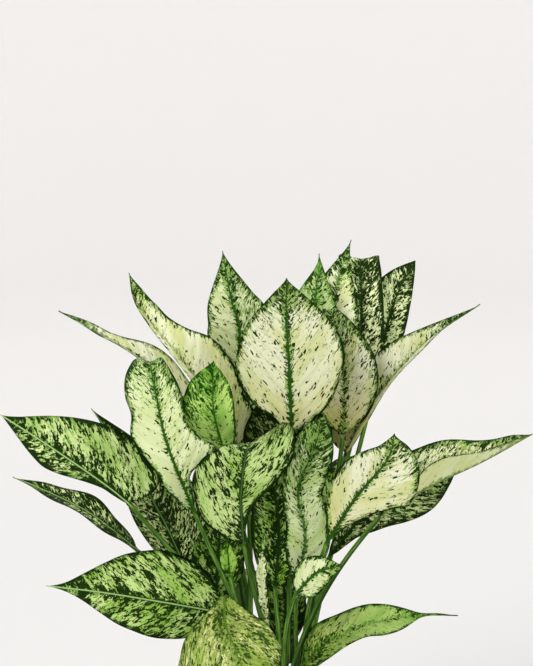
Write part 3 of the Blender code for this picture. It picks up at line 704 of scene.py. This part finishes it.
def fleck_group():
    """Where a leaf's dark and middle greens lie.

    A network of blots, a scatter of single specks and a finer dust, all crowding at the midrib,
    the margin and the tip; streaks that feather the midrib; a broken line round the margin.
    """
    group, given, out = new_group(
        "leaf_flecks", "ShaderNodeTree", {**dict.fromkeys(TOLD, VECTOR), **dict.fromkeys(MARKS, FLOAT)},
        dict.fromkeys(("Dark", "Middle", "Rib", "Cloud"), FLOAT))
    vein = given["Vein"]
    across = vein.split()[1]
    rib, edge, _ = given["Reach"].split()
    along = given["Place"].split()[0]
    more = given["Mood"].split()[0]
    to_tip, to_side, to_base = given["Lean"].split()

    drift = vein.stretch((0.35, 0.35, 1)).noise(1.0, 1.0, output="Color").vector("ADD", (-0.5, -0.5, -0.5))
    spot = vein.vector("ADD", drift.vector("MULTIPLY", (5.0, 5.0, 0.0)))
    fine = spot.stretch((1 / 2.2, 1 / 2.9, 1)).noise(1.0, 3.5, 0.62)
    patch = spot.stretch((1 / 9.0, 1 / 13.0, 1), (3, 7, 31)).noise()

    crowd = rib.step(0.0, given["Rib Reach"], 1.0, 0.0) * given["Rib Crowding"]
    crowd += edge.step(0.0, given["Edge Reach"], 1.0, 0.0) * given["Edge Crowding"]
    crowd += along.step(0.60, 1.0) * given["Tip Crowding"]
    crowd += more * 0.1
    crowd += along.step(0.30, 0.85) * (to_tip * 0.1)
    crowd += along.step(0.0, 0.5, 0.1, 0.0) * to_base
    crowd += across.step(-8.0, 8.0, -0.1, 0.1) * to_side
    value = fine * (1.0 - given["Islands"]) + patch * given["Islands"]
    value += (crowd + given["Cover"]).math("MINIMUM", given["Most Cover"])
    dark = value.step(0.503, 0.517)

    ragged = (fine - 0.5) * 0.9
    for cell, largest, fewer in (((1 / 2.7, 1 / 3.7, 1), 0.40, 1.0), ((1 / 1.3, 1 / 1.6, 1), 0.30, 1.12)):
        distance, lot = spot.stretch(cell, (2, 9, 5)).cells()
        grown = (lot + (given["Specks"] - fewer + crowd * 2.5)) * 2.2
        size = node(group, "ShaderNodeClamp", {"Value": grown, "Min": 0.0, "Max": largest})
        speck = (distance + ragged - size).step(-0.06, 0.0, 1.0, 0.0) * size.step(0.04, 0.1)
        dark = dark.math("MAXIMUM", speck)
    edge_line = patch.step(0.40, 0.60, 0.05, 1.5) * given["Edge Line"]
    dark = dark.math("MAXIMUM", (edge + (fine - 0.5) * 3.0).step(edge_line * 0.75, edge_line, 1.0, 0.0))
    dark.to(out["Dark"])

    streaks = vein.stretch((1 / 1.5, 1 / 16.0, 1), (7, 3, 13)).noise(1.0, 2.0, 0.6)
    spikes = (streaks - 0.47).math("MAXIMUM", 0.0) * given["Feathering"]
    rib_width = (given["Rib Width"] + spikes) * along.step(0.25, 1.0, 1.0, 0.30)
    (rib - rib_width).step(-0.25, 0.15, 1.0, 0.0).to(out["Rib"])

    wide = spot.stretch((1 / 2.6, 1 / 4.6, 1), (9, 2, 53)).noise(1.0, 3.0, 0.6)
    (wide + crowd * 1.5 + given["Middle Cover"]).step(0.51, 0.56).to(out["Middle"])
    vein.stretch((1 / 24.0, 1 / 24.0, 1), (5, 1, 77)).noise(1.0, 1.0).to(out["Cloud"])
    return group


def relief_group():
    """Height of a leaf's skin: sunken side veins, fine cross veins, long soft folds and a leathery grain."""
    group, given, out = new_group("leaf_relief", "ShaderNodeTree", {"Vein": VECTOR, "Reach": VECTOR},
                                  {"Height": FLOAT, "Veins": FLOAT})
    vein = given["Vein"]
    stalk = given["Reach"].split()[2]
    wander = vein.stretch((0.08, 0.12, 1)).noise(1.0, 1.0)
    phase = vein.split()[0] * (pi / VEIN_SPACING) + wander * 2.0
    main = abs(phase.math("COSINE")).math("POWER", 14.0)
    fine = abs((phase * 5.0).math("COSINE")).math("POWER", 4.0)
    grain = vein.stretch((2.2, 1.4, 1)).noise(1.0, 2.0, 0.6)
    folds = vein.stretch((1 / 8.0, 1 / 45.0, 1), (1, 4, 19)).noise(1.0, 1.0, 0.4)
    veins = (main + fine * 0.25) * (1.0 - stalk)
    (grain * 0.3 - veins * 0.6 + folds * 12.0).to(out["Height"])
    veins.to(out["Veins"])
    return group


SCALES = ("Cloud Scale", "Grit Scale", "Speck Scale", "Speck Size")


def mottle_group():
    """Cloudy tone, fine grit and specks, for the pot, the canes and the potting mix."""
    group, given, out = new_group(
        "mottle", "ShaderNodeTree", {"Where": VECTOR, **dict.fromkeys(SCALES, FLOAT)},
        dict.fromkeys(("Cloud", "Grit", "Specks"), FLOAT))
    where = given["Where"]
    where.noise(given["Cloud Scale"], 3.0, 0.55).to(out["Cloud"])
    where.noise(given["Grit Scale"], 2.0, 0.6).to(out["Grit"])
    distance, lot = where.cells(given["Speck Scale"])
    size = lot.step(0.55, 1.0) * given["Speck Size"]
    (distance - size).step(-0.04, 0.02, 1.0, 0.0).to(out["Specks"])
    return group


# ---- Finishes ------------------------------------------------------------------------------------

# What each leaf finish is made of: its palest tissue, the shade over that, its middle green, its dark flecks
# and its rib, as on a paint chart; then its numbers for MARKS.
FINISHES = {
    "cream": (((216, 217, 186), (194, 198, 140), (116, 154, 58), (18, 46, 4), (32, 72, 10)),
              (-0.155, 0.12, 0.30, 0.11, 7.0, 0.16, 7.0, 0.12, 1.3, 16.0, 1.3, -0.15, 0.0)),
    "pale": (((204, 218, 166), (176, 198, 122), (112, 156, 58), (18, 48, 6), (36, 82, 14)),
             (-0.14, 0.14, 0.28, 0.10, 6.0, 0.16, 6.0, 0.12, 1.1, 10.0, 1.2, -0.13, 0.0)),
    "lime": (((188, 214, 130), (138, 180, 66), (94, 142, 42), (14, 40, 2), (20, 50, 6)),
             (-0.01, 0.34, 0.32, 0.06, 8.0, 0.08, 7.0, 0.02, 1.2, 12.0, 2.2, -0.05, 0.035)),
    "dark": (((190, 208, 134), (148, 180, 86), (66, 104, 28), (14, 34, 3), (20, 48, 6)),
             (0.0, 0.24, 0.35, 0.06, 7.0, 0.10, 6.0, 0.03, 1.2, 12.0, 2.0, -0.05, 0.04)),
    "young": (((172, 208, 100), (128, 180, 56), (80, 142, 32), (22, 60, 4), (50, 102, 16)),
              (-0.08, 0.28, 0.28, 0.05, 8.0, 0.12, 5.0, 0.06, 0.8, 7.0, 1.2, -0.07, 0.0)),
    "olive": (((204, 208, 140), (148, 170, 78), (112, 140, 48), (40, 66, 12), (80, 114, 32)),
              (-0.055, 0.34, 0.30, 0.09, 14.0, 0.05, 20.0, 0.02, 0.7, 6.0, 0.6, 0.02, -0.01)),
}
STALK_GREEN = paint(56, 96, 28)
STALK_DARK = paint(26, 54, 14)
STALK_PALE = paint(110, 148, 64)
UNDERSIDE = paint(146, 162, 90)
DRY_TAN = paint(186, 176, 94)
RIB_LINE = paint(150, 184, 112)
CREAM = paint(216, 220, 176)
LEAF_SHEEN = (0.8, 1.0, 0.45, 1)


def new_material(name, roughness, specular):
    """A material and its shader's inputs."""
    material = bpy.data.materials.new(name)
    material.use_nodes = True
    skin = material.node_tree.nodes["Principled BSDF"].inputs
    skin["Roughness"].default_value = roughness
    skin["Specular IOR Level"].default_value = specular
    return material, skin


def leaf_material(name, flecks, relief):
    colours, numbers = FINISHES[name]
    ground, shade, middle, dark, rib_green = (paint(*colour) for colour in colours)
    material, skin = new_material("leaf_" + name, 0.5, 0.12)
    skin["Specular Tint"].default_value = LEAF_SHEEN
    tree = material.node_tree
    told = {key: attribute(tree, key.lower()) for key in TOLD}
    marks = use(tree, flecks, {**dict(zip(MARKS, numbers)), **told})
    grain = use(tree, relief, {"Vein": told["Vein"], "Reach": told["Reach"]})
    rib, _, stalk = told["Reach"].split()
    along, _, top = told["Place"].split()
    _, tan, tone = told["Mood"].split()
    pale_rib, rib_strength, cream = attribute(tree, "habit").split()

    colour = blend(marks["Cloud"].step(0.38, 0.66), ground, shade)
    colour = blend(cream, colour, CREAM)
    colour = blend(along.step(0.0, 0.55, 1.0, 0.0) * tan, colour, DRY_TAN)
    colour = blend(marks["Middle"] * 0.8, colour, middle)
    colour = blend(grain["Veins"] * 0.12, colour, middle)
    colour = blend(marks["Dark"], colour, dark)
    colour = blend(marks["Rib"] * rib_strength, colour, rib_green)
    colour = blend(rib.step(0.35, 0.75, 1.0, 0.0) * pale_rib, colour, RIB_LINE)
    colour = blend(top, blend(0.35, colour, UNDERSIDE), colour)
    streaks = told["Vein"].stretch((0.05, 1.3, 1)).noise(1.0, 3.0, 0.6)
    green = blend(streaks.step(0.42, 0.62), STALK_GREEN, STALK_PALE)
    green = blend(rib.step(1.1, 2.0), green, STALK_DARK)
    colour = blend(stalk, colour, green)
    # The tone brightens or dims the whole leaf: partly its own tint, partly painted light and shade.
    dimmed(colour, tone + 1.0).to(skin["Base Color"])
    marks["Dark"].step(0.0, 1.0, 0.52, 0.44).to(skin["Roughness"])
    grain["Height"].bump(0.6, 0.0004).to(skin["Normal"])
    return material


def mottled(name, mottle, colours, roughness, scales, depth, specular=0.4):
    """A finish of cloudy tone with specks; colours are its two tones and its specks.

    It also gives the shader's inputs, and the colour, place and normal for more to be laid over.
    """
    material, skin = new_material(name, roughness, specular)
    where = node(material.node_tree, "ShaderNodeTexCoord", output="Object")
    marks = use(material.node_tree, mottle, {"Where": where, **dict(zip(SCALES, scales))})
    tone, other_tone, speck = (paint(*colour) for colour in colours)
    colour = blend(marks["Specks"], blend(marks["Cloud"].step(0.35, 0.65), tone, other_tone), speck)
    marks["Grit"].step(0.3, 0.7, roughness - 0.06, roughness + 0.08).to(skin["Roughness"])
    gritty = marks["Grit"].bump(0.5, depth)
    gritty.to(skin["Normal"])
    return material, skin, colour, where, gritty


def pot_material(mottle):
    """Matt glaze with faint turning lines and iron specks, and bare clay on the foot."""
    material, skin, colour, where, gritty = mottled(
        "pot_glaze", mottle, ((214, 208, 198), (202, 196, 186), (120, 98, 76)), 0.5,
        (24, 1400, 420, 0.16), 0.0002)
    turning = where.stretch((6, 6, 420)).noise(1.0, 3.0, 0.6)
    turning.bump(0.35, 0.0004, Normal=gritty).to(skin["Normal"])
    bare = (where.split()[2] + turning * 0.001).step(0.0030, 0.0042, 1.0, 0.0)
    blend(bare, colour, paint(178, 148, 120)).to(skin["Base Color"])
    return material


def cane_material(mottle):
    """Green-brown bark, browner and drier toward the foot, with pale leaf scars."""
    material, skin, colour, where, _ = mottled(
        "cane_bark", mottle, ((104, 120, 62), (82, 98, 50), (138, 122, 84)), 0.6,
        (160, 1600, 700, 0.2), 0.0003)
    dry = where.split()[2].step(SOIL_TOP, SOIL_TOP + 0.035, 0.85, 0.0)
    scar = attribute(material.node_tree, "scar", "Fac")
    blend(scar * 0.7, blend(dry, colour, paint(124, 100, 66)), paint(176, 160, 118)).to(skin["Base Color"])
    return material


def grain_material(name, mottle, colours, roughness):
    """A finish for loose grains, each a little lighter or darker than the next."""
    material, skin, colour, _, _ = mottled(
        name, mottle, colours, roughness, (420, 2600, 1500, 0.2), 0.0004, 0.25)
    tint = attribute(material.node_tree, "tint", "Fac")
    dimmed(colour, tint.step(0.0, 1.0, 0.55, 1.25)).to(skin["Base Color"])
    return material


# ---- Pot, potting mix and canes ------------------------------------------------------------------

def lathe_mesh(name, profile, sides, turned_in=False):
    """A surface turned about Z from a profile, closed where it meets the axis."""
    mesh = bmesh.new()
    rings = []
    for radius, height in profile:
        angles = np.linspace(0, 2 * pi, sides if radius > 1e-6 else 1, endpoint=False)
        rings.append([mesh.verts.new((radius * cos(a), radius * sin(a), height)) for a in angles])
    for low, high in zip(rings, rings[1:]):
        for k, n in zip(range(sides), (*range(1, sides), 0)):
            corners = low[k % len(low)], low[n % len(low)], high[n % len(high)], high[k % len(high)]
            mesh.faces.new(dict.fromkeys(corners))
    if not turned_in:
        bmesh.ops.recalc_face_normals(mesh, faces=mesh.faces)
    made = bpy.data.meshes.new(name)
    mesh.to_mesh(made)
    mesh.free()
    return made


def softened(profile, reach, steps=5):
    """A profile with each inner corner rounded over a short reach."""
    p = [np.array(point, float) for point in profile]
    made = [p[0]]
    for before, corner, after in zip(p, p[1:], p[2:]):
        a, b = (corner + unit(way) * min(reach, np.linalg.norm(way) * 0.45)
                for way in (before - corner, after - corner))
        made += [(1 - u) ** 2 * a + 2 * u * (1 - u) * corner + u * u * b for u in np.linspace(0, 1, steps)]
    return [tuple(point) for point in made + [p[-1]]]


def inner_radius(height):
    """Inside radius of the pot's wall at a height."""
    share = (height - POT_FLOOR) / (POT_HEIGHT - POT_FLOOR)
    return mix(POT_FOOT_RADIUS, POT_BODY_RADIUS, share) - POT_WALL + POT_WALL_THINNING * share


def baked(piece, name):
    """The object's mesh with its modifiers worked in; the object goes."""
    view = bpy.context.evaluated_depsgraph_get()
    mesh = bpy.data.meshes.new_from_object(piece.evaluated_get(view))
    mesh.name = name
    bpy.data.objects.remove(piece, do_unlink=True)
    return mesh


def make_pot(material):
    """The pot, turned and then drilled. It stands on a ring, with the underside a little up within it."""
    foot, body, under_rim = POT_FOOT_RADIUS, POT_BODY_RADIUS, POT_HEIGHT - POT_RIM_DEPTH
    bend_in, bend_up = FLOOR_BEND
    outside = [(0, 0.0012), (foot - 0.010, 0.0012), (foot - 0.0085, 0), (foot - 0.002, 0), (foot, 0.003),
               (body - 0.0008, under_rim - 0.003), (body, under_rim - 0.0008),
               (POT_RIM_RADIUS, under_rim + 0.0006), (POT_RIM_RADIUS, POT_HEIGHT)]
    bend = POT_FLOOR + bend_up
    inside = [(inner_radius(POT_HEIGHT), POT_HEIGHT), (inner_radius(bend), bend),
              (inner_radius(POT_FLOOR) - bend_in, POT_FLOOR), (0, POT_FLOOR)]
    pot = place("pot_turned", lathe_mesh("pot_turned", softened(outside + inside, 0.0022), POT_SIDES))
    low, high = -0.01, POT_FLOOR + 0.01
    cutters = []
    for k in range(DRAINS):
        angle = pi / 4 + 2 * pi * k / DRAINS
        hole = [(0, low), (DRAIN_RADIUS, low), (DRAIN_RADIUS, high), (0, high)]
        drain = place(f"drain_{k}", lathe_mesh(f"drain_{k}", hole, 32))
        drain.location = (DRAIN_CIRCLE * cos(angle), DRAIN_CIRCLE * sin(angle), 0)
        cut = pot.modifiers.new("drain", "BOOLEAN")
        cut.operation = "DIFFERENCE"
        cut.solver = "EXACT"
        cut.object = drain
        cutters.append(drain)
    mesh = baked(pot, "pot_turned")
    for drain in cutters:
        bpy.data.objects.remove(drain, do_unlink=True)
    mesh.materials.clear()
    mesh.materials.append(material)
    new_piece("pot_turned", mesh, "pot", "pot")
    mesh.set_sharp_from_angle(angle=radians(50))


def soil_level(x, y):
    """Height of the potting mix at a place on its surface: a little heaped at the middle, uneven all over."""
    radius = hypot(x, y)
    lumps = 0.8 * sin(210 * x + 1.3) * sin(190 * y) + 0.5 * sin(430 * x - 260 * y + 0.7)
    heap = 2.0 * exp(-(radius / 0.030) ** 2) - 1.2 * (radius / 0.072) ** 4
    return SOIL_TOP + MM * (lumps + heap)


def grow(piece, tree, values):
    """Sets a geometry tree on an object, each input by its identifier."""
    step = piece.modifiers.new(tree.name, "NODES")
    step.node_group = tree
    for item in tree.interface.items_tree:
        if item.in_out == "INPUT" and item.name in values:
            step[item.identifier] = values[item.name]


GRAINS = {"Grains per m2": FLOAT, "Least Size": FLOAT, "Largest Size": FLOAT, "Flatness": FLOAT,
          "Raggedness": FLOAT, "Seed": INTEGER, "Finish": MATERIAL}
GRAIN_LENGTH = 1.35
GRAIN_TURN = (6.28, 6.28, 6.28)
GRAIN_LUMPS = 520.0


def scatter_tree():
    """Loose grains over a surface: irregular pebbles of random size and turn."""
    tree, given, out = new_group("scatter_grains", "GeometryNodeTree",
                                 {"Geometry": GEOMETRY, **GRAINS}, {"Geometry": GEOMETRY})
    seed, largest = given["Seed"], given["Largest Size"]

    def drawn(low, high, seed):
        """A random number for each grain."""
        return node(tree, "FunctionNodeRandomValue", {2: low, 3: high, "Seed": seed}, 1, data_type="FLOAT")

    spread = {"Density": given["Grains per m2"], "Seed": seed}
    points = given["Geometry"].through("DistributePointsOnFaces", spread, "Points")
    pebble = node(tree, "GeometryNodeMeshIcoSphere", {"Radius": 0.5, "Subdivisions": 1})
    turn = node(tree, "FunctionNodeRandomValue", {0: (0, 0, 0), 1: GRAIN_TURN, "Seed": seed},
                data_type="FLOAT_VECTOR")
    size = drawn(given["Least Size"], largest, seed + 7)
    shape = node(tree, "ShaderNodeCombineXYZ", {0: size * GRAIN_LENGTH, 1: size, 2: size * given["Flatness"]})
    grains = points.through("InstanceOnPoints", {"Instance": pebble, "Rotation": turn, "Scale": shape})
    tint = {"Name": "tint", "Value": drawn(0.0, 1.0, seed + 13)}
    grains = grains.through("StoreNamedAttribute", tint, domain="INSTANCE").through("RealizeInstances")
    lumps = node(tree, "GeometryNodeInputPosition").noise(GRAIN_LUMPS, output="Color")
    push = {0: lumps.vector("SUBTRACT", (0.5, 0.5, 0.5)), "Scale": largest * given["Raggedness"]}
    push = node(tree, "ShaderNodeVectorMath", push, operation="SCALE")
    grains = grains.through("SetPosition", {"Offset": push})
    grains.through("SetMaterial", {"Material": given["Finish"]}).to(out["Geometry"])
    return tree


def make_soil(mottle):
    """The potting mix, and the bark, crumbs and perlite that lie on it."""
    peat = grain_material("potting_mix", mottle, ((44, 33, 25), (64, 48, 36), (92, 74, 56)), 0.9)
    bend_in, bend_up = FLOOR_BEND
    radii = np.linspace(0, inner_radius(SOIL_TOP) - 2 * GAP, SOIL_RINGS)
    profile = [(0, POT_FLOOR + GAP), (inner_radius(POT_FLOOR) - bend_in - GAP, POT_FLOOR + GAP),
               (inner_radius(POT_FLOOR + bend_up) - 2 * GAP, POT_FLOOR + 0.0065)]
    profile += [(radius, SOIL_TOP) for radius in radii[::-1]]
    mesh = lathe_mesh("soil_mix", profile, SOIL_SIDES)
    top = bmesh.new()
    top.from_mesh(mesh)
    for vertex in top.verts:
        if vertex.co.z > SOIL_TOP - 0.001:
            vertex.co.z = soil_level(vertex.co.x, vertex.co.y)
    top.to_mesh(mesh)
    mesh.materials.append(peat)
    new_piece("soil_mix", mesh, "soil", "soil")

    lowest = SOIL_TOP - 0.006
    hidden = [face for face in top.faces if face.normal.z < 0.5 or min(v.co.z for v in face.verts) < lowest]
    bmesh.ops.delete(top, geom=hidden, context="FACES")
    surface = bpy.data.meshes.new("soil_surface")
    top.to_mesh(surface)
    top.free()
    scatter = scatter_tree()
    bark = grain_material("bark_chips", mottle, ((74, 52, 36), (108, 78, 54), (134, 104, 76)), 0.85)
    perlite = grain_material("perlite", mottle, ((216, 212, 202), (236, 234, 228), (190, 184, 172)), 0.8)
    for name, *values in (("soil_crumbs", 90000.0, 0.0010, 0.0026, 0.8, 0.5, 3, peat),
                          ("bark_chips", 26000.0, 0.0030, 0.0075, 0.4, 0.4, 5, bark),
                          ("perlite_grains", 9000.0, 0.0014, 0.0034, 0.8, 0.3, 11, perlite)):
        holder = place(name, surface)
        grow(holder, scatter, dict(zip(GRAINS, values)))
        new_piece(name, baked(holder, name), "soil")
    bpy.data.meshes.remove(surface)


CANE = {"Foot Radius": FLOAT, "Tip Radius": FLOAT, "Scars": FLOAT, "Scar Depth": FLOAT, "Finish": MATERIAL}


def cane_tree():
    """A cane grown along its axis: it tapers, swells at each leaf scar and closes in a round crown."""
    tree, given, out = new_group("cane", "GeometryNodeTree",
                                 {"Geometry": GEOMETRY, **CANE}, {"Geometry": GEOMETRY})
    foot = given["Foot Radius"]
    share = node(tree, "GeometryNodeSplineParameter", output="Factor")
    taper = foot + share * (given["Tip Radius"] - foot)
    scar = abs((share * given["Scars"] * pi).math("COSINE")).math("POWER", 26.0)
    crown = share.step(0.965, 1.0, 1.0, 0.02).math("SQRT")
    radius = taper * (scar * given["Scar Depth"] + 1.0) * crown
    cane = given["Geometry"].through("MeshToCurve").through("ResampleCurve", {"Count": CANE_RINGS})
    cane = cane.through("StoreNamedAttribute", {"Name": "scar", "Value": scar}, domain="POINT")
    cane = cane.through("SetCurveRadius", {"Radius": radius})
    ring = node(tree, "GeometryNodeCurvePrimitiveCircle", {"Resolution": CANE_SIDES, "Radius": 1.0})
    cane = cane.through("CurveToMesh", {"Profile Curve": ring, "Scale": radius, "Fill Caps": True})
    cane = cane.through("SetMaterial", {"Material": given["Finish"]})
    cane.through("RealizeInstances").to(out["Geometry"])
    return tree


def make_canes(material):
    tree = cane_tree()
    for cane, c in CANES.items():
        heights = [GAP / MM - SOCKET_DEPTH / MM, 0]
        heights += [c["height"] * k / CANE_STEPS for k in range(1, CANE_STEPS + 1)]
        points = [tuple(cane_axis(cane, height)) for height in heights]
        path = bpy.data.meshes.new("cane_path")
        path.from_pydata(points, [(k, k + 1) for k in range(len(points) - 1)], [])
        name = f"cane_{cane}_grown"
        holder = place(name, path)
        grow(holder, tree, dict(zip(CANE, (CANE_FOOT_RADIUS, CANE_TIP_RADIUS, SCARS, SCAR_DEPTH, material))))
        new_piece(name, baked(holder, name), "stem", f"cane_{cane}")
        bpy.data.meshes.remove(path)


# ---- Stage ---------------------------------------------------------------------------------------

LIT_SPOT = (0, 0, 0.38)
CAMERA_AIM = Vector((-0.011, 0, 0.465))
CAMERA_AWAY = 1.5
CAMERA_TILT = radians(10)


def make_stage():
    """A pale floor that sweeps up into a round wall. Its paper is darker and glows less toward the middle,
    which is painted shade there; its glow, strongest out at the wall, is painted light.
    """
    floor, wall, height = 3.4, 4.6, 4.2
    sweep = wall - floor
    bend = np.linspace(0.1, pi / 2, 12)
    profile = [(0, 0), (1, 0), (2, 0), (floor, 0)]
    profile += [(floor + sweep * sin(a), sweep * (1 - cos(a))) for a in bend]
    profile.append((wall, height))
    material, skin = new_material("studio_paper", 0.9, 0.1)
    where = node(material.node_tree, "ShaderNodeTexCoord", output="Object")
    away = where.vector("LENGTH", output="Value").step(0.4, 2.6)
    paper = blend(where.noise(0.5, 1.0), paint(240, 239, 238), paint(236, 234, 232))
    # Darker toward the middle: painted shade.
    blend(away, paint(222, 221, 220), paper).to(skin["Base Color"])
    # The paper glows, least at the middle and most out at the wall: painted light.
    blend(away, paint(205, 204, 203), paint(255, 254, 252)).to(skin["Emission Color"])
    skin["Emission Strength"].default_value = 0.18
    mesh = lathe_mesh("studio_floor", profile, 96, turned_in=True)
    mesh.materials.append(material)
    mesh.shade_smooth()
    place("studio_floor", mesh)


def facing(spot, aim):
    """The turn that makes a lamp or a camera at the spot look at the aim."""
    return (Vector(aim) - Vector(spot)).to_track_quat("-Z", "Y").to_euler()


def soft_box(name, spot, size, power, colour=(1, 1, 1)):
    lamp = bpy.data.lights.new(name, "AREA")
    lamp.shape = "DISK"
    lamp.size = size
    lamp.energy = power
    lamp.color = colour
    holder = place(name, lamp)
    holder.location = spot
    holder.rotation_euler = facing(spot, LIT_SPOT)


def light_and_camera():
    scene = bpy.context.scene
    scene.view_settings.view_transform = "Standard"
    scene.world = bpy.data.worlds.new("studio_air")
    scene.world.use_nodes = True
    air = scene.world.node_tree.nodes["Background"].inputs
    air["Color"].default_value = (1, 1, 1, 1)
    air["Strength"].default_value = 0.5
    soft_box("key_light", (-1.3, -1.9, 2.1), 1.3, 34, (1, 0.985, 0.96))
    soft_box("fill_light", (1.9, -1.6, 1.2), 1.6, 13, (0.97, 0.985, 1))
    soft_box("top_light", (0.2, 0.5, 2.6), 1.6, 18)
    camera = bpy.data.cameras.new("camera")
    camera.lens = 101
    camera.sensor_width = 36
    eye = place("camera", camera)
    eye.location = CAMERA_AIM + CAMERA_AWAY * Vector((0, -cos(CAMERA_TILT), sin(CAMERA_TILT)))
    eye.rotation_euler = facing(eye.location, CAMERA_AIM)
    scene.camera = eye


def main():
    light_and_camera()
    make_stage()
    flecks, relief, mottle = fleck_group(), relief_group(), mottle_group()
    make_pot(pot_material(mottle))
    make_soil(mottle)
    make_canes(cane_material(mottle))
    finishes = {name: leaf_material(name, flecks, relief) for name in FINISHES}
    order = [(cane, name) for cane in LEAVES for name in LEAVES[cane]]
    for number, (cane, name) in enumerate(order):
        make_leaf(cane, name, number, finishes)


main()
